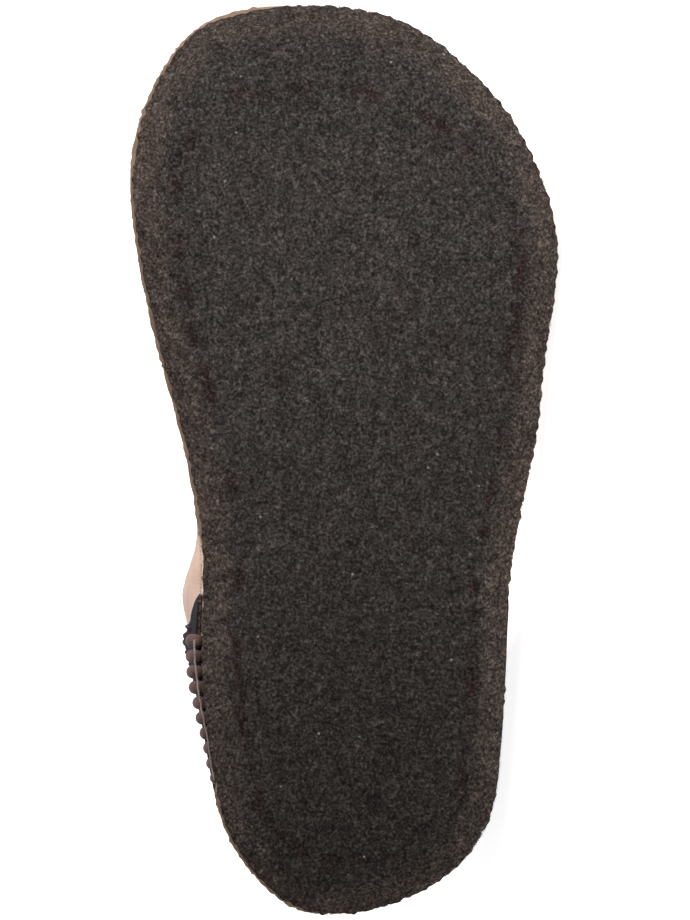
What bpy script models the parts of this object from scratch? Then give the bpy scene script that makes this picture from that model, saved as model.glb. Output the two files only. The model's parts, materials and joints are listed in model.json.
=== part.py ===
"""Left slipper for a toddler, of thick felt with a granular rubber sole, lying on its lateral side.

The shoe is worked out in its own frame: x from heel to toe, y towards the lateral side, z up from the
ground that the sole would stand on. At the end it is laid on its side: the sole faces -Y, the toe points
along +X and the big toe's side is up, with the floor at z = 0.

Every form runs round the shoe. The share of the way round, u, is 0 at the heel, 0.5 at the toe, on the
lateral side in between, and comes back to 1 on the medial side.
"""

import math
from collections import namedtuple

import bmesh
import bpy
import numpy as np
from mathutils import Matrix, Vector

# Sizes of the whole shoe, in metres
LENGTH = 0.1502
BALL_WIDTH = 0.0702
INSTEP_HEIGHT = 0.0500
HEEL_HEIGHT = 0.0520
SIDE_HEIGHT = 0.0440
JOINT_GAP = 0.0003

# Sole
TREAD = 0.0010
SOLE_FELT = 0.0030
INSOLE = 0.0025
BORDER_WIDTH = 0.0070
BORDER_RISE = 0.0023
BORDER_CURL = 2.2
TOE_SPRING = 0.0055
INSOLE_SIDE = 0.7

# Overcast seam between sole and upper
SEAM_WIDTH = 0.0020
SEAM_HEIGHT = 0.0040
SEAM_LIFT = 0.0037
SEAM_COVER = 105.0

# Upper and its collar
UPPER_FELT = 0.0026
COLLAR_LENGTH = 0.0800
COLLAR_WIDTH = 0.0385
COLLAR_BACK = 0.0050
COLLAR_SIDEWAYS = 0.0010

# Heel piece
COUNTER_FELT = 0.0010
COUNTER_GAP = 0.0005
COUNTER_FOOT = 0.04
COUNTER_PRESS = 0.45
PRESS_REACH = 0.14

# Fineness of the meshes
AROUND = 80
BORDER_STEPS = (0.0, 0.16, 0.34, 0.60, 1.0)
WALL_STEPS = (0.0, 0.09, 0.19, 0.30, 0.42, 0.54, 0.66, 0.78, 0.90, 1.0)
SEAM_SIDES = 8
CHANNEL_STEPS = (1.0, 0.66, 0.33, 0.04)
RIM_TURNS = (30.0, 90.0, 150.0)
COUNTER_ROWS = 9

# Weights that decide how the shoe lies, in kg per cubic metre
FELT_DENSITY = 300.0
RUBBER_DENSITY = 1200.0

# Outline of the sole seen from below. Shares of the length from the heel, and of the ball width from the
# middle line; the border's width and the toe's lift are shares of theirs.
SoleSection = namedtuple("SoleSection", "share medial lateral border spring")
SOLE_SECTIONS = (
    SoleSection(0.000, 0.020, -0.020, 1.50, 0.16),
    SoleSection(0.042, 0.207, 0.238, 1.35, 0.10),
    SoleSection(0.100, 0.285, 0.335, 1.10, 0.03),
    SoleSection(0.180, 0.325, 0.367, 1.00, 0.00),
    SoleSection(0.290, 0.346, 0.379, 1.00, 0.00),
    SoleSection(0.400, 0.341, 0.398, 1.00, 0.00),
    SoleSection(0.510, 0.376, 0.445, 1.00, 0.00),
    SoleSection(0.620, 0.438, 0.473, 1.00, 0.00),
    SoleSection(0.730, 0.487, 0.499, 1.05, 0.02),
    SoleSection(0.820, 0.500, 0.455, 1.25, 0.14),
    SoleSection(0.895, 0.460, 0.362, 1.60, 0.42),
    SoleSection(0.950, 0.391, 0.245, 2.00, 0.72),
    SoleSection(0.985, 0.289, 0.125, 2.25, 0.93),
    SoleSection(1.000, 0.066, -0.066, 2.35, 1.00),
)

# Sections of the upper, each a curve from the seam to the collar. turn is the place on the collar's oval,
# 180 degrees at the heel. rise and drop are shares of the instep height, out and reach of the ball width.
UpperSection = namedtuple("UpperSection", "share turn rise out_medial out_lateral drop reach")
UPPER_SECTIONS = (
    UpperSection(0.000, 180.0, 0.28, 0.015, 0.015, 0.26, 0.045),
    UpperSection(0.040, 155.0, 0.28, -0.006, 0.002, 0.26, 0.045),
    UpperSection(0.120, 133.0, 0.27, -0.022, 0.000, 0.25, 0.050),
    UpperSection(0.250, 108.0, 0.26, 0.010, 0.010, 0.24, 0.055),
    UpperSection(0.310, 98.0, 0.26, 0.078, 0.012, 0.24, 0.057),
    UpperSection(0.360, 90.0, 0.26, 0.128, 0.014, 0.24, 0.060),
    UpperSection(0.410, 82.5, 0.26, 0.080, 0.018, 0.23, 0.072),
    UpperSection(0.460, 75.0, 0.26, 0.024, 0.020, 0.22, 0.085),
    UpperSection(0.600, 56.0, 0.27, 0.018, 0.014, 0.17, 0.150),
    UpperSection(0.740, 39.0, 0.30, 0.022, 0.002, 0.13, 0.235),
    UpperSection(0.860, 25.0, 0.34, 0.028, 0.026, 0.11, 0.330),
    UpperSection(0.950, 13.0, 0.38, 0.040, 0.040, 0.10, 0.410),
    UpperSection(1.000, 0.0, 0.40, 0.045, 0.045, 0.10, 0.440),
)

# Top edge of the heel piece. Shares of the length, and of the way from the seam to the collar.
CounterSection = namedtuple("CounterSection", "share top")
COUNTER_SECTIONS = (
    CounterSection(0.000, 0.72),
    CounterSection(0.060, 0.71),
    CounterSection(0.140, 0.64),
    CounterSection(0.220, 0.53),
    CounterSection(0.300, 0.24),
    CounterSection(0.352, 0.07),
)

COLOURS = {
    "rubber_tread": ((0.046, 0.041, 0.038), 0.82),
    "felt_sole": ((0.450, 0.385, 0.375), 0.95),
    "edge_seam": ((0.098, 0.052, 0.050), 0.85),
    "upper": ((0.560, 0.430, 0.405), 0.95),
    "heel_counter": ((0.022, 0.024, 0.052), 0.92),
    "insole": ((0.480, 0.420, 0.400), 0.95),
}


def clear_scene():
    for thing in list(bpy.data.objects):
        bpy.data.objects.remove(thing, do_unlink=True)


def way_round(share):
    """Place u on the lateral side at a share of the length, with even steps round the heel and toe."""
    return math.acos(1.0 - 2.0 * share) / (2.0 * math.pi)


def ring_curve(sections, lateral, medial):
    """Closed cubic spline round the shoe through a value of each section, for each side's own."""
    rows = [(way_round(row.share), lateral(row)) for row in sections]
    rows += [(1.0 - way_round(row.share), medial(row)) for row in reversed(sections[1:-1])]
    knots = np.array([place for place, _ in rows])
    values = np.array([value for _, value in rows])
    count = len(knots)
    steps = np.diff(np.append(knots, 1.0))
    slopes = (np.roll(values, -1) - values) / steps
    system = np.zeros((count, count))
    for i in range(count):
        system[i, i - 1] += steps[i - 1]
        system[i, i] += 2.0 * (steps[i - 1] + steps[i])
        system[i, (i + 1) % count] += steps[i]
    bends = np.linalg.solve(system, 6.0 * (slopes - np.roll(slopes, 1)))

    def at(u):
        u = np.mod(u, 1.0)
        i = np.clip(np.searchsorted(knots, u, side="right") - 1, 0, count - 1)
        j = (i + 1) % count
        step = steps[i]
        a = u - knots[i]
        b = step - a
        return (
            (bends[i] * b**3 + bends[j] * a**3) / (6.0 * step)
            + (values[i] / step - bends[i] * step / 6.0) * b
            + (values[j] / step - bends[j] * step / 6.0) * a
        )

    return at


def turn_ahead(row):
    """How far a section's place on the collar's oval is ahead of an even turn, in degrees."""
    return row.turn - 180.0 + 360.0 * way_round(row.share)


outline_y = ring_curve(SOLE_SECTIONS, lambda row: row.lateral, lambda row: -row.medial)
border_share = ring_curve(SOLE_SECTIONS, lambda row: row.border, lambda row: row.border)
spring_share = ring_curve(SOLE_SECTIONS, lambda row: row.spring, lambda row: row.spring)
rise_share = ring_curve(UPPER_SECTIONS, lambda row: row.rise, lambda row: row.rise)
out_share = ring_curve(UPPER_SECTIONS, lambda row: row.out_lateral, lambda row: row.out_medial)
drop_share = ring_curve(UPPER_SECTIONS, lambda row: row.drop, lambda row: row.drop)
reach_share = ring_curve(UPPER_SECTIONS, lambda row: row.reach, lambda row: row.reach)
turn_lead = ring_curve(UPPER_SECTIONS, turn_ahead, lambda row: -turn_ahead(row))


def outline(u):
    """Outermost line of the shoe, the seam's, as x and y."""
    return LENGTH * (1.0 - np.cos(2.0 * np.pi * u)) / 2.0, BALL_WIDTH * outline_y(u)


def inward(u):
    """Unit direction from the outline to the middle of the sole, in plan."""
    step = 1e-4
    x0, y0 = outline(u - step)
    x1, y1 = outline(u + step)
    dx, dy = x1 - x0, y1 - y0
    size = np.hypot(dx, dy)
    return dy / size, -dx / size


def sole_ring(u, inset, height):
    """Points at an inset from the outline and at a height."""
    x, y = outline(u)
    nx, ny = inward(u)
    return np.stack([x + nx * inset, y + ny * inset, np.zeros_like(u) + height], axis=1)


def edge_lift(u):
    """Height of the rubber's rim, with the toe's spring in it."""
    return BORDER_RISE + TOE_SPRING * np.maximum(spring_share(u), 0.0)


def seam_height(u):
    return edge_lift(u) + SEAM_LIFT


def layer_ring(u, along, lift):
    """Ring in the sole's layers: along is 0 at the rim and 1 where the border meets the flat ground."""
    start = SEAM_WIDTH / 4.0
    width = BORDER_WIDTH * border_share(u) - start
    rise = edge_lift(u)
    height = rise * (1.0 - along) ** BORDER_CURL
    slope = BORDER_CURL * rise * (1.0 - along) ** (BORDER_CURL - 1.0) / width
    size = np.sqrt(1.0 + slope**2)
    return sole_ring(u, start + along * width + lift * slope / size, height + lift / size)


def seam_ring(u, angle, clearance):
    """Ring on the seam's oval section, or that far off it; angle 0 faces inward and 90 faces up."""
    turn = math.radians(angle)
    inset = SEAM_WIDTH / 2.0 + (SEAM_WIDTH / 2.0 + clearance) * math.cos(turn)
    height = (SEAM_HEIGHT / 2.0 + clearance) * math.sin(turn)
    return sole_ring(u, inset, seam_height(u) + height)


def collar_ring(u):
    """The collar's top line: an oval in plan, higher at the heel and the instep than at the sides."""
    turn = np.radians(180.0 - 360.0 * u + turn_lead(u))
    ahead = np.cos(turn)
    x = COLLAR_BACK + COLLAR_LENGTH * (1.0 + ahead) / 2.0
    y = COLLAR_SIDEWAYS + COLLAR_WIDTH / 2.0 * np.sin(turn)
    front = ((1.0 + ahead) / 2.0) ** 2
    back = ((1.0 - ahead) / 2.0) ** 2
    z = SIDE_HEIGHT + (INSTEP_HEIGHT - SIDE_HEIGHT) * front + (HEEL_HEIGHT - SIDE_HEIGHT) * back
    return np.stack([x, y, z], axis=1)


def upper_face(u, v):
    """Outer face of the upper: v is 0 at the seam and 1 at the collar."""
    foot = seam_ring(u, SEAM_COVER, JOINT_GAP)
    top = collar_ring(u)
    nx, ny = inward(u)
    out = BALL_WIDTH * out_share(u)
    rise = INSTEP_HEIGHT * rise_share(u)
    low = foot + np.stack([-nx * out, -ny * out, rise], axis=1)
    away = foot[:, :2] - top[:, :2]
    away /= np.linalg.norm(away, axis=1)[:, None]
    reach = BALL_WIDTH * reach_share(u)
    drop = INSTEP_HEIGHT * drop_share(u)
    high = top + np.stack([away[:, 0] * reach, away[:, 1] * reach, -drop], axis=1)
    w = 1.0 - v
    return w**3 * foot + 3.0 * w**2 * v * low + 3.0 * w * v**2 * high + v**3 * top


def unit(vectors):
    return vectors / np.linalg.norm(vectors, axis=1)[:, None]


def upper_ring(u, v, offset, beyond=0.0):
    """Ring of the upper, off its outer face by offset, and past it along the wall by beyond."""
    step = 1e-3
    across = upper_face(u + step, v) - upper_face(u - step, v)
    up = upper_face(u, min(v + step, 1.0)) - upper_face(u, max(v - step, 0.0))
    normal = unit(np.cross(up, across))
    return upper_face(u, v) + normal * offset + unit(up) * beyond


def whole_ring():
    return np.arange(AROUND) / AROUND


def material(name):
    colour, roughness = COLOURS[name]
    made = bpy.data.materials.new(name)
    made.use_nodes = True
    shader = made.node_tree.nodes["Principled BSDF"]
    shader.inputs["Base Color"].default_value = (*colour, 1.0)
    shader.inputs["Roughness"].default_value = roughness
    shader.inputs["Metallic"].default_value = 0.0
    return made


def make_object(name, body):
    """Object from a closed body; layers that face each other are split along like diagonals."""
    bmesh.ops.triangulate(body, faces=body.faces, quad_method="SHORT_EDGE")
    bmesh.ops.recalc_face_normals(body, faces=body.faces)
    mesh = bpy.data.meshes.new(name)
    body.to_mesh(mesh)
    body.free()
    mesh.materials.append(material(name))
    mesh.shade_smooth()
    mesh.set_sharp_from_angle(angle=math.radians(50.0))
    made = bpy.data.objects.new(name, mesh)
    bpy.context.scene.collection.objects.link(made)
    return made


def ring_body(rings, capped):
    """Closed body through rings round the shoe: the first and last are filled, or joined to each other."""
    body = bmesh.new()
    rows = [[body.verts.new(point) for point in ring] for ring in rings]
    count = len(rows[0])
    pairs = list(zip(rows, rows[1:])) + ([] if capped else [(rows[-1], rows[0])])
    for near, far in pairs:
        for i in range(count):
            j = (i + 1) % count
            body.faces.new((near[i], near[j], far[j], far[i]))
    if capped:
        for row in (rows[0], rows[-1]):
            fill_across(body, row)
    return body


def fill_across(body, row):
    """Fills a ring with strips from side to side, the lateral side's points facing the medial side's."""
    count = len(row)
    half = count // 2
    body.faces.new((row[0], row[1], row[count - 1]))
    for i in range(1, half - 1):
        body.faces.new((row[i], row[i + 1], row[count - i - 1], row[count - i]))
    body.faces.new((row[half - 1], row[half], row[half + 1]))


def make_tread():
    u = whole_ring()
    outer = [layer_ring(u, along, 0.0) for along in reversed(BORDER_STEPS)]
    inner = [layer_ring(u, along, TREAD) for along in BORDER_STEPS]
    return make_object("rubber_tread", ring_body(outer + inner, capped=True))


def make_felt_sole():
    """Felt layer over the rubber; its rim is hollowed for the seam."""
    u = whole_ring()
    under = TREAD + JOINT_GAP
    outer = [layer_ring(u, along, under) for along in reversed(BORDER_STEPS)]
    channel = [seam_ring(u, -SEAM_COVER * share, JOINT_GAP) for share in CHANNEL_STEPS]
    inner = [layer_ring(u, along, under + SOLE_FELT) for along in BORDER_STEPS[1:]]
    return make_object("felt_sole", ring_body(outer + channel + inner, capped=True))


def make_insole():
    """Felt layer inside, with an upright side; it lies on the sole and stays clear of the upper's wall."""
    u = whole_ring()
    under = TREAD + SOLE_FELT + 2.0 * JOINT_GAP
    lower = [layer_ring(u, along, under) for along in reversed(BORDER_STEPS[1:])]
    side = lower[-1] + np.array((0.0, 0.0, INSOLE * INSOLE_SIDE))
    upper = [layer_ring(u, along, under + INSOLE) for along in BORDER_STEPS[1:]]
    return make_object("insole", ring_body(lower + [side] + upper, capped=True))


def make_seam():
    u = whole_ring()
    rings = [seam_ring(u, 360.0 * i / SEAM_SIDES, 0.0) for i in range(SEAM_SIDES)]
    return make_object("edge_seam", ring_body(rings, capped=False))


def make_upper():
    """Hollow felt shell, open at the collar and underneath, where it stands on the felt sole's rim."""
    u = whole_ring()
    foot = [seam_ring(u, SEAM_COVER * share, JOINT_GAP) for share in reversed(CHANNEL_STEPS[1:])]
    outer = [upper_ring(u, v, 0.0) for v in WALL_STEPS]
    rim = [
        upper_ring(
            u,
            1.0,
            UPPER_FELT / 2.0 * (math.cos(math.radians(turn)) - 1.0),
            UPPER_FELT / 2.0 * math.sin(math.radians(turn)),
        )
        for turn in RIM_TURNS
    ]
    inner = [upper_ring(u, v, -UPPER_FELT) for v in reversed(WALL_STEPS[1:])]
    low = seam_ring(u, SEAM_COVER * CHANNEL_STEPS[-1], JOINT_GAP)
    heel_of_wall = upper_ring(u, 0.0, -UPPER_FELT)
    heel_of_wall[:, 2] = low[:, 2]
    return make_object("upper", ring_body(foot + outer + rim + inner + [heel_of_wall], capped=False))


def counter_felt(v):
    """The heel piece's thickness, which its stitches press thin along the sole."""
    reach = (COUNTER_FOOT, COUNTER_FOOT + PRESS_REACH)
    return COUNTER_FELT * np.interp(v, reach, (COUNTER_PRESS, 1.0))


def make_counter():
    """Felt piece round the heel, wrapped on the upper's outer face."""
    last = round(way_round(COUNTER_SECTIONS[-1].share) * AROUND)
    columns = range(-last, last + 1)
    places = [way_round(row.share) for row in COUNTER_SECTIONS]
    tops = [row.top for row in COUNTER_SECTIONS]
    body = bmesh.new()
    sheets = []
    for share in (0.0, 1.0):
        sheet = []
        for column in columns:
            u = column / AROUND
            top = np.interp(abs(u), places, tops)
            walk = np.linspace(COUNTER_FOOT, top, COUNTER_ROWS + 1)
            points = [
                upper_ring(np.array([u]), v, COUNTER_GAP + share * counter_felt(v))[0] for v in walk
            ]
            sheet.append([body.verts.new(point) for point in points])
        sheets.append(sheet)
    inner, outer = sheets
    for sheet in sheets:
        join_strips(body, sheet)
    for edge in (0, -1):
        join_strips(body, [[row[edge] for row in inner], [row[edge] for row in outer]])
        join_strips(body, [inner[edge], outer[edge]])
    return make_object("heel_counter", body)


def join_strips(body, rows):
    """Faces between each row of points and the next."""
    for near, far in zip(rows, rows[1:]):
        for i in range(len(near) - 1):
            body.faces.new((near[i], near[i + 1], far[i + 1], far[i]))


def volume_and_centre(thing):
    """Volume of a closed mesh, and its centre times that volume."""
    thing.data.calc_loop_triangles()
    volume, moment = 0.0, Vector()
    for face in thing.data.loop_triangles:
        a, b, c = (thing.data.vertices[i].co for i in face.vertices)
        part = a.dot(b.cross(c)) / 6.0
        volume += part
        moment += part * (a + b + c) / 4.0
    return volume, moment


def mass_centre(pieces):
    mass, moment = 0.0, Vector()
    for piece in pieces:
        density = RUBBER_DENSITY if piece.name == "rubber_tread" else FELT_DENSITY
        volume, part = volume_and_centre(piece)
        mass += density * volume
        moment += density * part
    return moment / mass


def resting_face(pieces, centre):
    """Outward normal of the hull's face, nearest to the lateral side, that the shoe can lie on."""
    hull = bmesh.new()
    for piece in pieces:
        for vertex in piece.data.vertices:
            hull.verts.new(vertex.co)
    bmesh.ops.convex_hull(hull, input=hull.verts, use_existing_faces=False)
    lateral = Vector((0.0, 1.0, 0.0))
    best = None
    for face in hull.faces:
        normal = face.normal.normalized()
        if normal.dot(face.verts[0].co - centre) < 0.0:
            normal = -normal
        below = centre + normal * normal.dot(face.verts[0].co - centre)
        if point_inside(face, below, normal) and (best is None or normal.dot(lateral) > best.dot(lateral)):
            best = normal
    hull.free()
    return best


def point_inside(face, point, normal):
    corners = [vertex.co for vertex in face.verts]
    sides = [
        normal.dot((after - before).cross(point - before))
        for before, after in zip(corners, corners[1:] + corners[:1])
    ]
    return min(sides) >= 0.0 or max(sides) <= 0.0


def lay_down(pieces):
    """Turns the shoe onto its resting face, toe along +X, and puts its lowest middle point at the origin."""
    down = resting_face(pieces, mass_centre(pieces))
    up = -down
    toe = Vector((1.0, 0.0, 0.0))
    toe = (toe - up * toe.dot(up)).normalized()
    turn = Matrix((toe, up.cross(toe), up))
    for piece in pieces:
        piece.data.transform(turn.to_4x4())
    corners = np.array([vertex.co for piece in pieces for vertex in piece.data.vertices])
    low, high = corners.min(axis=0), corners.max(axis=0)
    shift = Vector((-(low[0] + high[0]) / 2.0, -(low[1] + high[1]) / 2.0, -low[2]))
    for piece in pieces:
        piece.data.transform(Matrix.Translation(shift))
    return turn, shift


clear_scene()
PIECES = [make_tread(), make_felt_sole(), make_seam(), make_upper(), make_counter(), make_insole()]
TURN, SHIFT = lay_down(PIECES)
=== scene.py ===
"""Looks of the felt slipper: left shoe, lying on its lateral side, seen from below.

Forms are worked out in the shoe's own frame, in metres: x from heel to toe, y towards the lateral side, z up
from the ground that the sole would stand on. u is the share of the way round the shoe: 0 at the heel, 0.5 at
the toe, the lateral side in between, and back to 1 on the medial side. in_row turns them into the row frame.
"""

import json
import math
from collections import namedtuple

import bpy
import numpy as np
from mathutils import Matrix, Vector, noise


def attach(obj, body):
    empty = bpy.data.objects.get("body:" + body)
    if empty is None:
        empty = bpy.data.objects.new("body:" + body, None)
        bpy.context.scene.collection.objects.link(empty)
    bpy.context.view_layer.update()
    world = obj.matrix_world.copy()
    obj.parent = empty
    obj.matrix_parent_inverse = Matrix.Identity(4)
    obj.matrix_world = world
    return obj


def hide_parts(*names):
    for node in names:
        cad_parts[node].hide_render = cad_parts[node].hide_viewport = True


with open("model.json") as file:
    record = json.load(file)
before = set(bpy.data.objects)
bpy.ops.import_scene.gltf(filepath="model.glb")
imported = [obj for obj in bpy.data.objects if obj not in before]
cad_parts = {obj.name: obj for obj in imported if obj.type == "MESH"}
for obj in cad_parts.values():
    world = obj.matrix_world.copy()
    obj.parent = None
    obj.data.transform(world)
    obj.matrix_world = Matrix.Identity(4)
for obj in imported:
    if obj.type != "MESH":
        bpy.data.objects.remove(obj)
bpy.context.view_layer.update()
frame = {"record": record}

MM = 0.001

# Sizes of the shoe, as in the part's source
LENGTH = 0.1502
BALL_WIDTH = 0.0702
INSTEP_HEIGHT = 0.0500
HEEL_HEIGHT = 0.0520
SIDE_HEIGHT = 0.0440
JOINT_GAP = 0.0003
TREAD = 0.0010
SOLE_FELT = 0.0030
INSOLE = 0.0025
BORDER_WIDTH = 0.0070
BORDER_RISE = 0.0023
BORDER_CURL = 2.2
TOE_SPRING = 0.0055
INSOLE_SIDE = 0.7
SEAM_WIDTH = 0.0020
SEAM_HEIGHT = 0.0040
SEAM_LIFT = 0.0037
SEAM_COVER = 105.0
UPPER_FELT = 0.0026
COLLAR_LENGTH = 0.0800
COLLAR_WIDTH = 0.0385
COLLAR_BACK = 0.0050
COLLAR_SIDEWAYS = 0.0010
COUNTER_FELT = 0.0010
COUNTER_PRESS = 0.45
PRESS_FOOT = 0.04
PRESS_REACH = 0.14

# Foot of the heel piece, as a share up the wall: lower than in the part's source, behind the loops
COUNTER_FOOT = 0.006

# Where the record's forefoot flat is, as a share of the length
FOREFOOT_SHARE = 0.70

# Sections of the sole, upper and heel piece, as in the part's source but for two places: the soft medial
# bulge is up to 0.75 mm slimmer at 0.41 of the length, and the heel piece's front corner runs lower
SoleSection = namedtuple("SoleSection", "share medial lateral border spring")
SOLE_SECTIONS = (
    SoleSection(0.000, 0.020, -0.020, 1.50, 0.16),
    SoleSection(0.042, 0.207, 0.238, 1.35, 0.10),
    SoleSection(0.100, 0.285, 0.335, 1.10, 0.03),
    SoleSection(0.180, 0.325, 0.367, 1.00, 0.00),
    SoleSection(0.290, 0.346, 0.379, 1.00, 0.00),
    SoleSection(0.400, 0.341, 0.398, 1.00, 0.00),
    SoleSection(0.510, 0.376, 0.445, 1.00, 0.00),
    SoleSection(0.620, 0.438, 0.473, 1.00, 0.00),
    SoleSection(0.730, 0.487, 0.499, 1.05, 0.02),
    SoleSection(0.820, 0.500, 0.455, 1.25, 0.14),
    SoleSection(0.895, 0.460, 0.362, 1.60, 0.42),
    SoleSection(0.950, 0.391, 0.245, 2.00, 0.72),
    SoleSection(0.985, 0.289, 0.125, 2.25, 0.93),
    SoleSection(1.000, 0.066, -0.066, 2.35, 1.00),
)
UpperSection = namedtuple("UpperSection", "share turn rise out_medial out_lateral drop reach")
UPPER_SECTIONS = (
    UpperSection(0.000, 180.0, 0.28, 0.015, 0.015, 0.26, 0.045),
    UpperSection(0.040, 155.0, 0.28, -0.006, 0.002, 0.26, 0.045),
    UpperSection(0.120, 133.0, 0.27, -0.022, 0.000, 0.25, 0.050),
    UpperSection(0.250, 108.0, 0.26, 0.010, 0.010, 0.24, 0.055),
    UpperSection(0.310, 98.0, 0.26, 0.078, 0.012, 0.24, 0.057),
    UpperSection(0.360, 90.0, 0.26, 0.128, 0.014, 0.24, 0.060),
    UpperSection(0.410, 82.5, 0.26, 0.056, 0.018, 0.23, 0.072),
    UpperSection(0.460, 75.0, 0.26, 0.024, 0.020, 0.22, 0.085),
    UpperSection(0.600, 56.0, 0.27, 0.018, 0.014, 0.17, 0.150),
    UpperSection(0.740, 39.0, 0.30, 0.022, 0.002, 0.13, 0.235),
    UpperSection(0.860, 25.0, 0.34, 0.028, 0.026, 0.11, 0.330),
    UpperSection(0.950, 13.0, 0.38, 0.040, 0.040, 0.10, 0.410),
    UpperSection(1.000, 0.0, 0.40, 0.045, 0.045, 0.10, 0.440),
)
CounterSection = namedtuple("CounterSection", "share top")
COUNTER_SECTIONS = (
    CounterSection(0.000, 0.720),
    CounterSection(0.060, 0.710),
    CounterSection(0.140, 0.640),
    CounterSection(0.220, 0.530),
    CounterSection(0.302, 0.220),
    CounterSection(0.313, 0.100),
    CounterSection(0.324, 0.060),
    CounterSection(0.342, 0.038),
    CounterSection(0.352, 0.020),
)

# Camera: how the photograph's frame lies on the sole
CAMERA_DISTANCE = 0.8
FRAME_TALL = 0.1511
SENSOR = 36.0
MEDIAL_LEAN = 3.0
TOE_LEAN = 1.5
AIM = (0.0751, -0.0002, 0.0040)

# Overcast loops round the sole's edge, each of two strands that twist round each other. A loop runs round
# the seam between two angles, and from PIERCED of its way on into the upper, between two places up the wall
STITCH_PITCH = 2.55 * MM
STITCH_SLANT = 0.35
STRAND = 0.50 * MM
STRANDS_ASIDE = 1.25
STRANDS_RAISED = 0.45
LOOP_POINTS = 15
LOOP_FROM = 262.0
LOOP_TO = 100.0
LOOP_DEPTH = 1.10 * MM
LOOP_CHANCE = 0.06 * MM
LOOP_SIDES = 7
PIERCED = 0.8
PIERCED_UP = (0.012, 0.047)
PIERCED_HIGH = 0.30 * MM
PIERCED_DEEP = 0.75 * MM
CORE_SHARE = 0.35
CORE_SIDES = 12

# Loops that stand clear of the sole, each of one round tube, and the pale thread along them
LOOSE_FROM = 0.15 * MM
LOOSE_STRAND = 1.14 * MM
LOOSE_DEPTH = 0.55 * MM
LOOSE_SIDES = 14
THREAD_FROM = 0.150
THREAD_TO = 0.304
THREAD_RADIUS = 0.16 * MM
THREAD_HEIGHTS = (0.90 * MM, 0.95 * MM)
THREAD_WOBBLE = 0.12 * MM

# On the medial side of the heel: how far the loops and the pale thread on them stand beyond the outline
StandSection = namedtuple("StandSection", "share loops thread")
STAND_SECTIONS = (
    StandSection(0.135, 0.00, -0.35),
    StandSection(0.150, 0.30, -0.35),
    StandSection(0.163, 0.50, -0.35),
    StandSection(0.181, 0.60, -0.35),
    StandSection(0.196, 0.85, -0.33),
    StandSection(0.213, 1.10, -0.20),
    StandSection(0.229, 1.42, 0.05),
    StandSection(0.244, 1.70, 0.23),
    StandSection(0.262, 1.90, 0.38),
    StandSection(0.281, 2.15, 0.59),
    StandSection(0.303, 2.20, 0.70),
    StandSection(0.306, 2.10, 0.66),
    StandSection(0.310, 0.00, 0.40),
    StandSection(0.322, 0.00, -0.35),
)

# Where the medial loops are tucked in under the rim, as shares of the length: none to all, and back to none
TUCKED = (0.309, 0.318, 0.395, 0.430)
TUCKED_IN = 0.75 * MM

# Rim of the rubber: drawn in by each stitch, spread on the lateral and the medial side, crumbly all round
SCALLOP = 0.16 * MM
RIM_SPREAD = (0.14 * MM, 0.30 * MM)
RIM_CRUMBLE = 0.24 * MM
RIM_FADE = 5

# Lip of the sole's felt that shows beyond the rubber on the medial side: its width, how rough it is, and the
# share of it that is gone where the loops are tucked in
FELT_LIP = 0.22 * MM
LIP_ROUGH = 0.34 * MM
LIP_TUCKED = 0.45

# Overcast stitches along the heel piece's free edge: shares of the length and of the lateral side that they
# reach, ends across the edge, and height over the upper along each, in millimetres
HEEL_STITCH_PITCH = 2.9 * MM
STITCHED_TO = 0.318
LATERAL_STITCHED = 0.93
HEEL_STRAND = 0.30 * MM
HEEL_STITCH_LEAN = 0.9
HEEL_STITCH_ACROSS = (1.0, -0.6)
HEEL_STITCH_PLACES = (0.00, 0.12, 0.50, 0.85, 1.00)
HEEL_STITCH_HEIGHTS = (0.90, 1.46, 1.46, 0.40, -0.20)

# Heel piece: gap of its inner face to the upper, height of its edge, how far its middle stands above that
# beside the felt's own thickness, and how quickly its ends and edges rise to it
COUNTER_GAP = 0.15 * MM
COUNTER_EDGE = 0.25 * MM
COUNTER_CROWN = 0.20 * MM
END_RISE = 26.0
EDGE_RISE = 22.0

# Wool hairs round the edge, rooted deeper on the lateral side than on the medial one, and on the upper
EDGE_HAIRS = 9000
EDGE_HAIR_HALF = 0.022 * MM
EDGE_HAIR_ROOTS = (0.50 * MM, 0.10 * MM)
FUZZ_HAIRS = 9000
FUZZ_HAIR_HALF = 0.018 * MM
FUZZ_ROOT = 0.05 * MM
HAIR_TAPER = 0.8

# Dark streaks on the rubber, painted shade of small nicks and wrinkles that have no relief: ends from the
# heel and towards the lateral side, in metres, half width in millimetres and tone
Mark = namedtuple("Mark", "x1 y1 x2 y2 wide tone")
MARKS = (
    Mark(0.0622, -0.0004, 0.0612, 0.0012, 0.40, 0.55),
    Mark(0.0612, 0.0012, 0.0602, 0.0014, 0.30, 0.60),
    Mark(0.0088, -0.0112, 0.0074, -0.0088, 0.45, 0.50),
    Mark(0.0076, -0.0089, 0.0066, -0.0068, 0.45, 0.50),
    Mark(0.0067, -0.0066, 0.0058, -0.0048, 0.40, 0.55),
    Mark(0.1280, -0.0272, 0.1225, -0.0279, 0.75, 0.62),
    Mark(0.1205, -0.0264, 0.1170, -0.0281, 0.65, 0.66),
    Mark(0.1085, -0.0272, 0.1030, -0.0262, 0.70, 0.70),
    Mark(0.1130, 0.0268, 0.1060, 0.0272, 0.80, 0.66),
    Mark(0.0965, 0.0262, 0.0895, 0.0254, 0.75, 0.68),
    Mark(0.0400, -0.0150, 0.0352, -0.0146, 0.60, 0.72),
)

# Trough in the rubber where the border meets the flat ground
TROUGH_PLACE = 0.88
TROUGH_WIDTH = 1.1 * MM
TROUGH_DEPTH = 0.14 * MM

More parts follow.
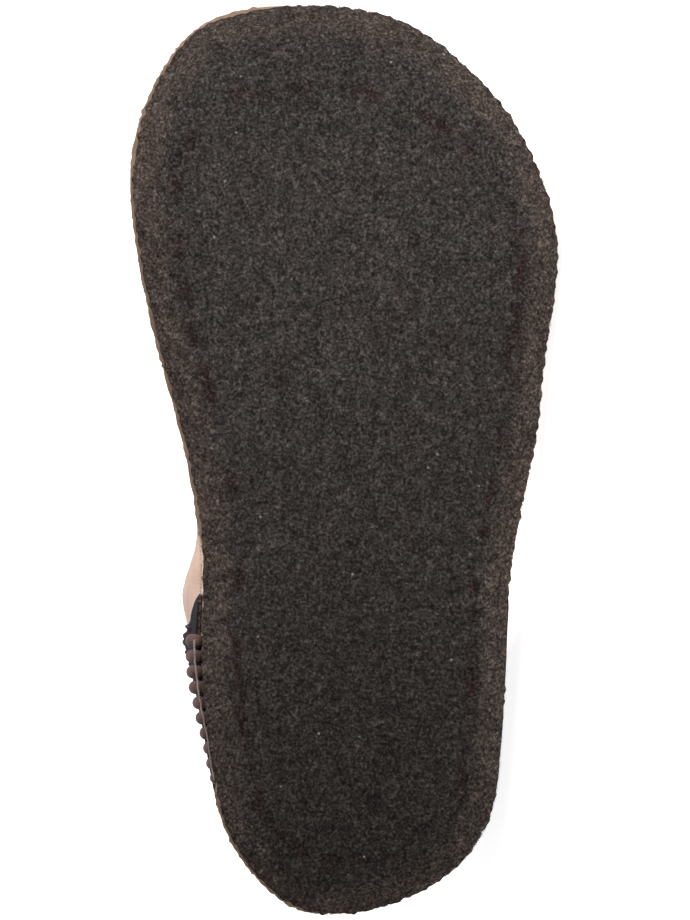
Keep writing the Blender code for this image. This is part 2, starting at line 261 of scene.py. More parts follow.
# Soft relief of the surfaces, in millimetres
Lump = namedtuple("Lump", "depth size seed")
RUBBER_RELIEF = (Lump(0.055, 1.25, 0.0), Lump(0.070, 3.2, 5.0), Lump(0.120, 11.0, 9.0))
UPPER_RELIEF = (Lump(0.10, 2.2, 0.0), Lump(0.18, 7.0, 4.0))
COUNTER_RELIEF = (Lump(0.07, 1.6, 0.0), Lump(0.10, 5.0, 4.0))

# Soft folds in the upper: ends as share of length and share up the wall, on the medial (-1) or lateral (+1)
# side; depth and width are in millimetres, and a fold of negative depth stands up
Fold = namedtuple("Fold", "side share_a up_a share_b up_b depth width")
FOLDS = (
    Fold(-1, 0.640, 0.62, 0.700, 0.20, 1.5, 4.0),
    Fold(-1, 0.690, 0.80, 0.755, 0.30, -0.9, 3.2),
    Fold(-1, 0.735, 0.85, 0.800, 0.35, 1.3, 3.6),
    Fold(+1, 0.640, 0.62, 0.700, 0.20, 1.3, 4.2),
    Fold(+1, 0.690, 0.80, 0.755, 0.30, -0.8, 3.2),
    Fold(+1, 0.735, 0.85, 0.800, 0.35, 1.1, 3.8),
    Fold(-1, 0.450, 0.80, 0.520, 0.40, 1.1, 4.0),
    Fold(+1, 0.400, 0.78, 0.470, 0.22, 1.1, 4.5),
    Fold(-1, 0.220, 0.92, 0.280, 0.62, -0.7, 4.0),
    Fold(+1, 0.250, 0.90, 0.300, 0.40, 0.9, 4.0),
)
FOLD_POINTS = 9

# Fineness of the meshes: points round the shoe, strips across it, and rows up the wall
TREAD_AROUND = 1200
TREAD_ACROSS = 104
TREAD_BORDER = 18
FELT_AROUND = 480
INSOLE_ACROSS = 60
UPPER_AROUND = 480
UPPER_ROWS = 66
INNER_ROWS = 40
COUNTER_AROUND = 260
COUNTER_ROWS = 44

# Places of the layers' rings across the border, and of rings up to where the seam is covered, as shares
LAYER_WALK = (0.16, 0.34, 0.60, 1.0)
SEAM_WALK = (0.04, 0.33, 0.66, 1.0)

# Rubber: its crumbs, the contrast of their tone that follows the bump and so is in part painted shade in
# pits and light on tops, the cells of its painted glints in millimetres, how far in the border's brown fades
# out, its tones along the sole, darker to the heel as painted shade, and the painted light beside the hind
# part's edge and how far in that fades
FINE_CRUMB = 0.45
COARSE_CRUMB = 1.0
FINE_SHARE = 0.74
CRUMB_SHADE_CONTRAST = 10.5
GLINT_CELL = 1.15
BORDER_FADE = (2.6, 6.4)
FAR_IN = 30.0
# Tone at the heel, where the rubber is painted darker as shade
HEEL_SHADE_TONE = 0.42
BALL_TONE = 0.95
TOE_TONE = 0.80
# Painted light beside the hind part's edges: how much paler, and how far in it fades
EDGE_LIGHT_TONE = 0.48
EDGE_FADE = 8.0 * MM

# Colours, and the nap of felt and yarn
SHEEN_ROUGHNESS = 0.45
COAL = (0.0335, 0.0288, 0.0262)
PALE_COAL = (0.0355, 0.0308, 0.0284)
PLUM_COAL = (0.038, 0.028, 0.027)
OLIVE_COAL = (0.031, 0.031, 0.025)
BORDER_BROWN = (0.054, 0.0415, 0.0357)
# Dark reddish brown of the painted shade in the trough
TROUGH_SHADE_BROWN = (0.024, 0.0150, 0.0135)
# Pale grey of the painted glints on the rubber
PAINTED_GLINT = (0.17, 0.165, 0.155)
FLOOR_GREYS = ((0.93, 0.93, 0.93), (0.95, 0.95, 0.95))
WHITE = (1.0, 1.0, 1.0, 1.0)

# Stage
FLOOR_HALF = 6.0
FLOOR_GLOW = 0.88
ROOM_LIGHT = 0.30
Softbox = namedtuple("Softbox", "name place aim size power")
SOFTBOXES = (
    Softbox("overhead_box", (0.3, 0.1, 1.0), (0.0, 0.0, 0.0), 1.0, 8.0),
    Softbox("toe_box", (0.34, -0.20, 0.26), (0.05, -0.02, 0.04), 0.22, 1.4),
)


def shoe_axes(record):
    """The shoe's origin and its toe, lateral and up directions in the row frame, from the forefoot flat."""
    flat = next(mount for mount in record["mounts"] if mount["name"] == "forefoot_flat")
    up = -Vector(flat["axis"]).normalized()
    toe = Vector((-up.z, 0.0, up.x)).normalized()
    lateral = up.cross(toe)
    origin = Vector(flat["pos_m"]) - toe * FOREFOOT_SHARE * LENGTH
    return origin, toe, lateral, up


ORIGIN, TOE, LATERAL, UP = shoe_axes(frame["record"])
TURN = np.array((TOE, LATERAL, UP))


def in_row(points):
    """Points of the shoe's frame in the row frame."""
    return np.asarray(points) @ TURN + np.array(ORIGIN)


def way_round(share):
    """u on the lateral side at a share of the length."""
    return math.acos(1.0 - 2.0 * share) / (2.0 * math.pi)


def ring_curve(sections, lateral, medial):
    """Closed cubic spline round the shoe through a value of each section, for each side's own."""
    rows = [(way_round(row.share), lateral(row)) for row in sections]
    rows += [(1.0 - way_round(row.share), medial(row)) for row in reversed(sections[1:-1])]
    knots = np.array([place for place, _ in rows])
    values = np.array([value for _, value in rows])
    count = len(knots)
    steps = np.diff(np.append(knots, 1.0))
    slopes = (np.roll(values, -1) - values) / steps
    system = np.zeros((count, count))
    for i in range(count):
        system[i, i - 1] += steps[i - 1]
        system[i, i] += 2.0 * (steps[i - 1] + steps[i])
        system[i, (i + 1) % count] += steps[i]
    bends = np.linalg.solve(system, 6.0 * (slopes - np.roll(slopes, 1)))

    def at(u):
        u = np.mod(u, 1.0)
        i = np.clip(np.searchsorted(knots, u, side="right") - 1, 0, count - 1)
        j = (i + 1) % count
        step = steps[i]
        a = u - knots[i]
        b = step - a
        return (
            (bends[i] * b**3 + bends[j] * a**3) / (6.0 * step)
            + (values[i] / step - bends[i] * step / 6.0) * b
            + (values[j] / step - bends[j] * step / 6.0) * a
        )

    return at


def turn_ahead(row):
    """How far a section's place on the collar is ahead of an even turn, in degrees."""
    return row.turn - 180.0 + 360.0 * way_round(row.share)


outline_y = ring_curve(SOLE_SECTIONS, lambda row: row.lateral, lambda row: -row.medial)
border_share = ring_curve(SOLE_SECTIONS, lambda row: row.border, lambda row: row.border)
spring_share = ring_curve(SOLE_SECTIONS, lambda row: row.spring, lambda row: row.spring)
rise_share = ring_curve(UPPER_SECTIONS, lambda row: row.rise, lambda row: row.rise)
out_share = ring_curve(UPPER_SECTIONS, lambda row: row.out_lateral, lambda row: row.out_medial)
drop_share = ring_curve(UPPER_SECTIONS, lambda row: row.drop, lambda row: row.drop)
reach_share = ring_curve(UPPER_SECTIONS, lambda row: row.reach, lambda row: row.reach)
turn_lead = ring_curve(UPPER_SECTIONS, turn_ahead, lambda row: -turn_ahead(row))


def outline(u):
    return LENGTH * (1.0 - np.cos(2.0 * np.pi * u)) / 2.0, BALL_WIDTH * outline_y(u)


def inward(u):
    """Level direction into the shoe, square to the outline."""
    step = 1e-4
    x0, y0 = outline(u - step)
    x1, y1 = outline(u + step)
    dx, dy = x1 - x0, y1 - y0
    size = np.hypot(dx, dy)
    return dy / size, -dx / size


def outward(u):
    """Level directions out of the shoe."""
    nx, ny = inward(u)
    return -np.stack([nx, ny, np.zeros_like(u)], axis=-1)


def sole_ring(u, inset, height):
    """Points at that distance in from the outline and that height."""
    x, y = outline(u)
    nx, ny = inward(u)
    return np.stack([x + nx * inset, y + ny * inset, np.zeros_like(u) + height], axis=-1)


def edge_lift(u):
    """Height of the sole's rim, which rises to the toe."""
    return BORDER_RISE + TOE_SPRING * np.maximum(spring_share(u), 0.0)


def seam_height(u):
    return edge_lift(u) + SEAM_LIFT


def layer_ring(u, along, lift):
    """Ring in the sole's layers: along is 0 at the rim and 1 where the border meets the flat ground."""
    start = SEAM_WIDTH / 4.0
    width = BORDER_WIDTH * border_share(u) - start
    rise = edge_lift(u)
    height = rise * (1.0 - along) ** BORDER_CURL
    slope = BORDER_CURL * rise * (1.0 - along) ** (BORDER_CURL - 1.0) / width
    size = np.sqrt(1.0 + slope**2)
    return sole_ring(u, start + along * width + lift * slope / size, height + lift / size)


def seam_ring(u, angle, clearance):
    """Ring on the seam's oval section, or that far off it; angle 0 faces inward and 90 faces up."""
    turn = np.radians(angle)
    inset = SEAM_WIDTH / 2.0 + (SEAM_WIDTH / 2.0 + clearance) * np.cos(turn)
    height = (SEAM_HEIGHT / 2.0 + clearance) * np.sin(turn)
    return sole_ring(u, inset, seam_height(u) + height)


def collar_ring(u):
    """The collar's rim: an oval, higher at the instep and the heel."""
    turn = np.radians(180.0 - 360.0 * u + turn_lead(u))
    ahead = np.cos(turn)
    x = COLLAR_BACK + COLLAR_LENGTH * (1.0 + ahead) / 2.0
    y = COLLAR_SIDEWAYS + COLLAR_WIDTH / 2.0 * np.sin(turn)
    front = ((1.0 + ahead) / 2.0) ** 2
    back = ((1.0 - ahead) / 2.0) ** 2
    z = SIDE_HEIGHT + (INSTEP_HEIGHT - SIDE_HEIGHT) * front + (HEEL_HEIGHT - SIDE_HEIGHT) * back
    return np.stack([x, y, z], axis=-1)


def upper_face(u, v):
    """Outer face of the upper at arrays of u and v: v is 0 at the seam and 1 at the collar."""
    foot = seam_ring(u, SEAM_COVER, JOINT_GAP)
    top = collar_ring(u)
    nx, ny = inward(u)
    out = BALL_WIDTH * out_share(u)
    rise = INSTEP_HEIGHT * rise_share(u)
    low = foot + np.stack([-nx * out, -ny * out, rise], axis=-1)
    away = unit(foot[..., :2] - top[..., :2])
    reach = BALL_WIDTH * reach_share(u)
    drop = INSTEP_HEIGHT * drop_share(u)
    high = top + np.stack([away[..., 0] * reach, away[..., 1] * reach, -drop], axis=-1)
    v = np.asarray(v)[..., None]
    w = 1.0 - v
    return w**3 * foot + 3.0 * w**2 * v * low + 3.0 * w * v**2 * high + v**3 * top


def unit(vectors):
    return vectors / np.linalg.norm(vectors, axis=-1)[..., None]


def on_upper(u, v, offset, beyond=0.0):
    """Points off the upper's outer face by offset, and past it up the wall by beyond."""
    u, v = np.broadcast_arrays(np.asarray(u, float), np.asarray(v, float))
    step = 1e-3
    across = upper_face(u + step, v) - upper_face(u - step, v)
    up = upper_face(u, np.minimum(v + step, 1.0)) - upper_face(u, np.maximum(v - step, 0.0))
    normal = unit(np.cross(up, across))
    offset = np.asarray(offset)[..., None] if np.ndim(offset) else offset
    return upper_face(u, v) + normal * offset + unit(up) * beyond


def even_way(count):
    """Values of u in equal steps along the outline, and that way's length."""
    fine = np.linspace(0.0, 1.0, 20001)
    x, y = outline(fine)
    way = np.concatenate([[0.0], np.cumsum(np.hypot(np.diff(x), np.diff(y)))])
    return np.interp(np.arange(count) / count * way[-1], way, fine), way[-1]


STITCHES = round(even_way(1)[1] / STITCH_PITCH)
STITCH_PLACES, _ = even_way(STITCHES)


def stitch_phase(u):
    """Stitches passed at u, counted from the heel."""
    places = np.append(STITCH_PLACES, 1.0)
    return np.interp(np.mod(u, 1.0), places, np.arange(STITCHES + 1))


def medial_ramp(u, shares, values):
    """Values on the medial side, ramped between shares of the length, and the end values past them."""
    u = np.mod(u, 1.0)
    places = [1.0 - way_round(share) for share in reversed(shares)]
    ramped = np.interp(u, places, list(reversed(values)))
    return np.where(u > 0.5, ramped, values[-1])


def stand(u):
    """How far the loops stand out beyond the outline at u."""
    rows = [row.loops * MM for row in STAND_SECTIONS]
    return medial_ramp(u, [row.share for row in STAND_SECTIONS], rows)


def tucked(u):
    """1 where the medial loops are tucked under the rim, and 0 elsewhere."""
    return medial_ramp(u, TUCKED, (0.0, 1.0, 1.0, 0.0))


def medial_side(u):
    """1 on the medial side and 0 on the lateral side, with soft ends at heel and toe."""
    return np.clip(0.5 - np.sin(2.0 * np.pi * np.asarray(u)) * 3.0, 0.0, 1.0)


# Meshes


def mesh_object(name, points, faces, material, body="root"):
    """Smooth object from points in the shoe's frame; what would pass the floor is pressed flat on it."""
    mesh = bpy.data.meshes.new(name)
    placed = in_row(points)
    placed[:, 2] = np.maximum(placed[:, 2], 0.0)
    mesh.from_pydata(placed.tolist(), [], faces)
    mesh.materials.append(material)
    mesh.shade_smooth()
    made = bpy.data.objects.new(name, mesh)
    bpy.context.scene.collection.objects.link(made)
    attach(made, body)
    return made


def grid_faces(rows, columns, start=0, closed=False, wrap_rows=False):
    """Quads of a grid of points held row after row; closed joins its last column to the first."""
    faces = []
    for r in range(rows if wrap_rows else rows - 1):
        near = start + r * columns
        far = start + ((r + 1) % rows) * columns
        for c in range(columns if closed else columns - 1):
            d = (c + 1) % columns
            faces.append((near + c, near + d, far + d, far + c))
    return faces


def rings_object(name, rings, material):
    """Closed tube of rings round the shoe, the last joined to the first."""
    rings = np.array(rings)
    faces = grid_faces(len(rings), rings.shape[1], closed=True, wrap_rows=True)
    return mesh_object(name, rings.reshape(-1, 3), faces, material)


def layer_object(name, rings, across, material):
    """Flat closed layer from rings round the shoe, the first and last filled from side to side; the first in
    strips of that many pieces across."""
    rings = np.array(rings)
    count = rings.shape[1]
    points = [rings.reshape(-1, 3)]
    faces = grid_faces(len(rings), count, closed=True)
    for ring, pieces in ((0, across), (len(rings) - 1, 1)):
        start = sum(len(part) for part in points)
        more, new_faces = filled_ring(rings[ring], ring * count, start, pieces)
        points.append(more)
        faces += new_faces if ring else [face[::-1] for face in new_faces]
    faces = [face[::-1] for face in faces]
    return mesh_object(name, np.concatenate(points), faces, material)


def filled_ring(ring, first, start, pieces):
    """Points and faces that fill a ring: strips between the lateral side's points and the medial side's."""
    count = len(ring)
    half = count // 2
    shares = (np.arange(1, pieces) / pieces)[:, None]
    more, rows = [], []
    for i in range(1, half):
        inner = ring[i] * (1.0 - shares) + ring[count - i] * shares
        places = [start + len(more) * (pieces - 1) + k for k in range(pieces - 1)]
        more.append(inner)
        rows.append([first + i] + places + [first + count - i])
    faces = []
    for near, far in zip(rows, rows[1:]):
        for k in range(pieces):
            faces.append((near[k], far[k], far[k + 1], near[k + 1]))
    for k in range(pieces):
        faces.append((first, rows[0][k], rows[0][k + 1]))
        faces.append((first + half, rows[-1][k + 1], rows[-1][k]))
    filled = np.concatenate(more) if pieces > 1 else np.zeros((0, 3))
    return filled, faces


def tube_points(path, radius, sides):
    """Rings of points round a path, and the same count at each of its points."""
    path = np.asarray(path)
    ahead = unit(np.gradient(path, axis=0))
    guide = np.tile(np.array((1.0, 0.0, 0.0)), (len(path), 1))
    side = unit(np.cross(ahead, guide))
    over = np.cross(ahead, side)
    turns = 2.0 * np.pi * np.arange(sides) / sides
    radius = np.broadcast_to(np.asarray(radius, float), (len(path),))
    return path[:, None, :] + radius[:, None, None] * (
        np.cos(turns)[None, :, None] * side[:, None, :] + np.sin(turns)[None, :, None] * over[:, None, :]
    )


def tubes_object(name, tubes, material):
    """Many closed tubes in one object; each is an array of rings."""
    points, faces, start = [], [], 0
    for rings in tubes:
        length, sides = rings.shape[:2]
        points.append(rings.reshape(-1, 3))
        faces += grid_faces(length, sides, start, closed=True)
        faces.append(tuple(start + k for k in reversed(range(sides))))
        faces.append(tuple(start + (length - 1) * sides + k for k in range(sides)))
        start += length * sides
    return mesh_object(name, np.concatenate(points), faces, material)


def bend(made, amount):
    """Moves an object's points along their normals by amount(point in millimetres, its number)."""
    mesh = made.data
    normals = [normal.vector.copy() for normal in mesh.vertex_normals]
    for i in range(len(mesh.vertices)):
        point = mesh.vertices[i].co
        moved = point + normals[i] * amount(point * 1000.0, i)
        moved.z = max(moved.z, 0.0)
        mesh.vertices[i].co = moved
    mesh.update()


def soft_noise(point, size, seed=0.0):
    """Noise from -1 to 1 with lumps of about that size, both in millimetres."""
    return noise.noise(point / size + Vector((seed, seed * 1.7, seed * 0.6)))


def relief(point, lumps):
    """Height of soft lumps at a point in millimetres, in metres."""
    return sum(lump.depth * soft_noise(point, lump.size, lump.seed) for lump in lumps) * MM


def store(made, name, values):
    """Keeps a number for each point of an object, for its material to read."""
    made.data.attributes.new(name, "FLOAT", "POINT").data.foreach_set("value", values)


# Materials


class Surface:
    """A node material with a Principled shader, in millimetres of the object's own space."""

    def __init__(self, name, roughness, sheen=0.0, specular=0.5):
        self.material = bpy.data.materials.new(name)
        self.material.use_nodes = True
        self.tree = self.material.node_tree
        self.shader = self.tree.nodes["Principled BSDF"]
        gloss = {"Roughness": roughness, "Specular IOR Level": specular}
        self.fill(self.shader, {**gloss, "Sheen Weight": sheen, "Sheen Roughness": SHEEN_ROUGHNESS})
        self.place = self.vector("SCALE", self.node("TexCoord").outputs["Object"], scale=1000.0)

    def fill(self, node, inputs):
        """Links sockets to a node's inputs of those names, or sets them to numbers and colours."""
        for name, value in inputs.items():
            if isinstance(value, bpy.types.NodeSocket):
                self.tree.links.new(value, node.inputs[name])
            elif value is not None:
                node.inputs[name].default_value = value

    def node(self, kind, inputs=None, **settings):
        made = self.tree.nodes.new("ShaderNode" + kind)
        for name, value in settings.items():
            setattr(made, name, value)
        self.fill(made, inputs or {})
        return made

    def vector(self, operation, a, b=None, scale=None):
        made = self.node("VectorMath", {0: a, 1: b, "Scale": scale}, operation=operation)
        return made.outputs["Value" if operation in ("DOT_PRODUCT", "LENGTH") else "Vector"]

    def math(self, operation, a, b=None):
        return self.node("Math", {0: a, 1: b}, operation=operation).outputs[0]

    def shifted(self, far):
        """The place moved by a length in millimetres, for a pattern of its own."""
        return self.vector("ADD", self.place, (far, 0.7 * far, 1.3 * far))

    def lumps(self, size, detail=2.0, roughness=0.5, place=None, distortion=0.0):
        """Noise from 0 to 1 with lumps of that size in millimetres."""
        kind = {"Detail": detail, "Roughness": roughness, "Distortion": distortion}
        where = {"Vector": place or self.place, "Scale": 1.0 / size}
        return self.node("TexNoise", {**where, **kind}).outputs["Fac"]

    def crumbs(self, size, place):
        """Cells of that size in millimetres: distance from the middle, and a chance value for each."""
        made = self.node("TexVoronoi", {"Vector": place, "Scale": 1.0 / size})
        split = self.node("SeparateColor", {0: made.outputs["Color"]})
        return made.outputs["Distance"], split.outputs[0]

    def steps(self, value, low, high, out_low=0.0, out_high=1.0):
        """Smooth step of a value from low to high."""
        inputs = {"Value": value, "From Min": low, "From Max": high, "To Min": out_low, "To Max": out_high}
        return self.node("MapRange", inputs, interpolation_type="SMOOTHSTEP").outputs["Result"]

    def mix(self, share, a, b):
        """Colour between a and b."""
        a, b = ((*side, 1.0) if isinstance(side, tuple) else side for side in (a, b))
        return self.node("Mix", {"Factor": share, "A": a, "B": b}, data_type="RGBA").outputs["Result"]

    def tone(self, colour, factor):
        """Colour times a grey factor."""
        return self.vector("SCALE", colour, scale=factor)

    def bump(self, height, depth, strength=1.0, normal=None):
        """Bump of that depth in millimetres where the height goes from 0 to 1."""
        inputs = {"Height": height, "Distance": depth * MM, "Strength": strength, "Normal": normal}
        return self.node("Bump", inputs).outputs["Normal"]

    def attribute(self, name):
        return self.node("Attribute", attribute_name=name).outputs["Fac"]

    def streak(self, mark):
        """Distance from a short streak on the sole: 1 at its edge."""
        near = Vector(in_row((mark.x1, mark.y1, 0.0)) / MM)
        far = Vector(in_row((mark.x2, mark.y2, 0.0)) / MM)
        ahead = (far - near).normalized()
        away = self.vector("SUBTRACT", self.place, tuple((near + far) / 2.0))
        along = self.vector("DOT_PRODUCT", away, tuple(ahead))
        squash = 1.0 - 2.0 * mark.wide / (far - near).length
        back = self.vector("SCALE", tuple(ahead), scale=self.math("MULTIPLY", along, squash))
        size = self.vector("LENGTH", self.vector("SUBTRACT", away, back))
        wobble = self.steps(self.lumps(0.8, detail=2.0), 0.3, 0.7, -0.5, 0.5)
        return self.math("ADD", self.math("DIVIDE", size, mark.wide), wobble)

    def finish(self, colour, normal=None):
        self.fill(self.shader, {"Base Color": colour, "Normal": normal})
        return self.material


def rubber_material():
    """Granular rubber: fine dark crumbs with pale flecks, their tone following the bump so that it is in
    part painted shade in the pits and painted light on the tops, a few painted glints, and painted shade
    that makes it darker to the heel.
    """
    s = Surface("granular_rubber", 1.0, specular=0.03)
    fine = s.math("MULTIPLY", s.lumps(FINE_CRUMB, detail=3.0, roughness=0.6, distortion=0.4), FINE_SHARE)
    coarse = s.lumps(COARSE_CRUMB, detail=2.0, roughness=0.6, place=s.shifted(5.0))
    grain = s.math("ADD", fine, s.math("MULTIPLY", coarse, 1.0 - FINE_SHARE))
    # The crumbs' tone follows the bump's height: in part painted shade in the pits and painted light on the
    # tops
    crumbs = s.math("POWER", 2.0, s.math("MULTIPLY", s.math("SUBTRACT", grain, 0.5), CRUMB_SHADE_CONTRAST))
    colour = s.tone(rubber_stains_and_shade(s), crumbs)
    colour = s.tone(colour, s.steps(s.lumps(2.6, detail=3.0, roughness=0.6), 0.30, 0.70, 0.84, 1.14))
    # Painted light: paler beside the hind part's edges
    hind = s.math("SUBTRACT", 1.0, s.steps(s.attribute("ahead"), 0.25, 0.70))
    edge_light = s.math("MULTIPLY", s.math("MULTIPLY", s.attribute("edge"), hind), EDGE_LIGHT_TONE)
    colour = s.tone(colour, s.math("ADD", 1.0, edge_light))
    # Painted shade of the nicks and wrinkles: darker streaks
    for mark in MARKS:
        colour = s.tone(colour, s.steps(s.streak(mark), 0.5, 1.2, mark.tone, 1.0))
    # Painted shade: darker from the ball to the heel, standing in for the light's fall-off away from the toe
    colour = s.tone(colour, s.steps(s.attribute("ahead"), -0.15, 0.85, HEEL_SHADE_TONE, BALL_TONE))
    colour = s.tone(colour, s.steps(s.attribute("ahead"), 0.80, 1.0, 1.0, TOE_TONE))
    # Painted glints: pale grey mixed into a few crumbs' colour, standing in for highlights
    distance, chance = s.crumbs(GLINT_CELL, s.shifted(11.0))
    glint_mask = s.math("SUBTRACT", 1.0, s.steps(distance, 0.08, 0.26))
    glint_mask = s.math("MULTIPLY", s.steps(chance, 0.988, 0.990), glint_mask)
    colour = s.mix(glint_mask, colour, PAINTED_GLINT)
    normal = s.bump(grain, 0.34, 0.9)
    normal = s.bump(s.lumps(2.2, detail=3.0, roughness=0.6), 0.25, 0.7, normal)
    return s.finish(colour, normal)


def rubber_stains_and_shade(s):
    """Grey of the rubber with plum and olive clouds, a browner border, and painted shade in the trough
    beside it, dark and reddish in patches.
    """
    grey = s.mix(s.lumps(16.0, detail=2.0), COAL, PALE_COAL)
    plum = s.steps(s.lumps(7.0, detail=3.0), 0.50, 0.68, 0.0, 0.35)
    grey = s.mix(plum, grey, PLUM_COAL)
    olive = s.steps(s.lumps(5.0, detail=2.0, place=s.shifted(31.0)), 0.54, 0.70, 0.0, 0.3)
    grey = s.mix(olive, grey, OLIVE_COAL)
    border = s.math("SUBTRACT", 1.0, s.steps(s.attribute("inset"), *BORDER_FADE))
    border = s.math("MULTIPLY", border, s.steps(s.lumps(4.0, detail=3.0), 0.30, 0.60, 0.5, 1.0))
    grey = s.mix(border, grey, BORDER_BROWN)
    # Painted shade in the trough: dark reddish brown in patches where the border meets the flat ground
    patches = s.steps(s.lumps(3.4, detail=3.0), 0.45, 0.56, 0.0, 0.85)
    return s.mix(s.math("MULTIPLY", s.attribute("trough"), patches), grey, TROUGH_SHADE_BROWN)


def felt_material(name, base, dark, light, sheen=0.35, fleck=None):
    """Wool felt: matted fibres, cloudy colour and a soft nap."""
    s = Surface(name, 0.95, sheen=sheen, specular=0.15)
    stretched = s.vector("MULTIPLY", s.place, (1.0, 0.45, 0.7))
    fibres = s.lumps(0.22, detail=4.0, roughness=0.75, place=stretched, distortion=1.6)
    strands = s.lumps(0.5, detail=3.0, roughness=0.7, distortion=2.5)
    clouds = s.lumps(5.0, detail=4.0, roughness=0.6)
    colour = s.mix(s.steps(clouds, 0.30, 0.70), dark, light)
    colour = s.mix(s.steps(strands, 0.40, 0.65, 0.0, 0.6), colour, base)
    colour = s.tone(colour, s.steps(fibres, 0.25, 0.75, 0.80, 1.16))
    if fleck:
        flecks = s.steps(s.lumps(0.9, detail=4.0, roughness=0.7, distortion=2.0), 0.64, 0.72, 0.0, 0.7)
        colour = s.mix(flecks, colour, fleck)
    normal = s.bump(fibres, 0.16, 0.8)
    normal = s.bump(strands, 0.32, 0.8, normal)
    normal = s.bump(s.lumps(2.4, detail=3.0), 0.30, 0.6, normal)
    return s.finish(colour, normal)


def yarn_material(name, base, light, lateral=None):
    """Twisted wool yarn, of another colour on the lateral side where one is given: a darker one, painted
    shade.
    """
    s = Surface(name, 0.9, sheen=0.3, specular=0.2)
    fibres = s.lumps(0.18, detail=4.0, roughness=0.7, distortion=1.5)
    clouds = s.lumps(2.2, detail=3.0)
    colour = s.mix(s.steps(clouds, 0.35, 0.68), base, light)
    if lateral:
        # Painted shade: the lateral colour darkens the hairs on the side turned away from the light
        colour = s.mix(s.attribute("medial"), lateral, colour)
    colour = s.tone(colour, s.steps(fibres, 0.25, 0.75, 0.65, 1.35))
    return s.finish(colour, s.bump(fibres, 0.10, 0.8))


def floor_material():
    s = Surface("pale_floor", 0.9, specular=0.1)
    s.fill(s.shader, {"Emission Color": WHITE, "Emission Strength": FLOOR_GLOW})
    return s.finish(s.mix(s.lumps(400.0, detail=1.0), *FLOOR_GREYS))


RUBBER = rubber_material()
EDGE_FELT = felt_material(
    "edge_felt",
    base=(0.26, 0.165, 0.105),
    dark=(0.20, 0.125, 0.08),
    light=(0.33, 0.21, 0.14),
    sheen=0.2,
)
ROSE_FELT = felt_material(
    "rose_felt",
    base=(0.88, 0.58, 0.44),
    dark=(0.76, 0.48, 0.36),
    light=(0.92, 0.66, 0.51),
    sheen=0.6,
    fleck=(0.58, 0.36, 0.28),
)
NAVY_FELT = felt_material(
    "navy_felt",
    base=(0.017, 0.015, 0.021),
    dark=(0.012, 0.010, 0.016),
    light=(0.026, 0.022, 0.032),
    sheen=0.12,
)
INSOLE_FELT = felt_material(
    "insole_felt",
    base=(0.50, 0.43, 0.40),
    dark=(0.43, 0.37, 0.34),
    light=(0.56, 0.49, 0.45),
)
PLUM_YARN = yarn_material("plum_yarn", (0.076, 0.038, 0.036), (0.125, 0.070, 0.063))
NAVY_YARN = yarn_material("navy_yarn", (0.050, 0.034, 0.052), (0.085, 0.060, 0.080))
THREAD = yarn_material("pale_thread", (0.20, 0.155, 0.135), (0.27, 0.215, 0.185))
# Edge wool: its lateral colour is painted shade on the side away from the light
EDGE_WOOL = yarn_material(
    "edge_wool", (0.22, 0.135, 0.08), (0.33, 0.215, 0.135), lateral=(0.075, 0.045, 0.040)
)

# Pieces


def rim_spread(u):
    """How far the rubber's crumbly rim spreads beyond the outline, where the loops don't stand out."""
    spread = np.interp(medial_side(u), (0.0, 1.0), RIM_SPREAD)
    spread *= 1.0 - np.clip(stand(u) / (0.2 * MM), 0.0, 1.0)
    for i, point in enumerate(sole_ring(u, 0.0, 0.0) / MM):
        spot = Vector(point)
        spread[i] += RIM_CRUMBLE * (soft_noise(spot, 0.9) + 0.8 * soft_noise(spot, 2.4, 3.0))
    return spread


def make_tread():
    """Granular rubber: the border's rings, a trough beside the flat ground, a rim that stitches pull in."""
    u = np.arange(TREAD_AROUND) / TREAD_AROUND
    width = BORDER_WIDTH * border_share(u)
    way_out = outward(u)
    pull = 0.5 - 0.5 * np.cos(2.0 * np.pi * stitch_phase(u))
    drawn_in = SCALLOP * pull - rim_spread(u)
    rings, insets, troughs = [], [], []

    def add_ring(along, lift, trough):
        drawn = drawn_in * (1.0 - along) ** RIM_FADE
        rings.append(layer_ring(u, along, lift) - way_out * drawn[:, None])
        insets.append(along * width / MM)
        troughs.append(trough)

    for along in np.linspace(0.0, 1.0, TREAD_BORDER)[::-1] ** 1.15:
        add_ring(along, 0.0, np.exp(-(((along - TROUGH_PLACE) * width / TROUGH_WIDTH) ** 2)))
    below = len(rings)
    for along in (0.0, 0.3, 1.0):
        add_ring(along, TREAD, np.zeros_like(u))
    made = layer_object("granular_tread", rings, TREAD_ACROSS, RUBBER)
    count = len(made.data.vertices)
    ringed = len(rings) * TREAD_AROUND
    inset = np.full(count, FAR_IN)
    trough = np.zeros(count)
    inset[:ringed] = np.concatenate(insets)
    trough[:ringed] = np.concatenate(troughs)
    share, from_edge = places_on_sole(made)
    store(made, "inset", inset)
    store(made, "trough", trough)
    store(made, "ahead", share)
    # Nearness to the edge: mask of the painted light beside the hind part's edges
    store(made, "edge", np.exp(-from_edge / EDGE_FADE))

    def grain(point, i):
        if below * TREAD_AROUND <= i < ringed:
            return 0.0
        patches = 0.6 + 0.5 * soft_noise(point, 5.0, 3.0)
        return relief(point, RUBBER_RELIEF) - trough[i] * TROUGH_DEPTH * patches

    bend(made, grain)
    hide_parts("rubber_tread")


def places_on_sole(made):
    """Share of the length from the heel, and distance from the sole's edge, at each point of an object."""
    points = np.array([vertex.co for vertex in made.data.vertices]) - np.array(ORIGIN)
    x, y = points @ np.array(TOE), points @ np.array(LATERAL)
    share = x / LENGTH
    u = np.arccos(1.0 - 2.0 * np.clip(share, 0.0, 1.0)) / (2.0 * np.pi)
    gaps = (BALL_WIDTH * outline_y(u) - y, y - BALL_WIDTH * outline_y(1.0 - u), x, LENGTH - x)
    return share, np.maximum(np.min(gaps, axis=0), 0.0)


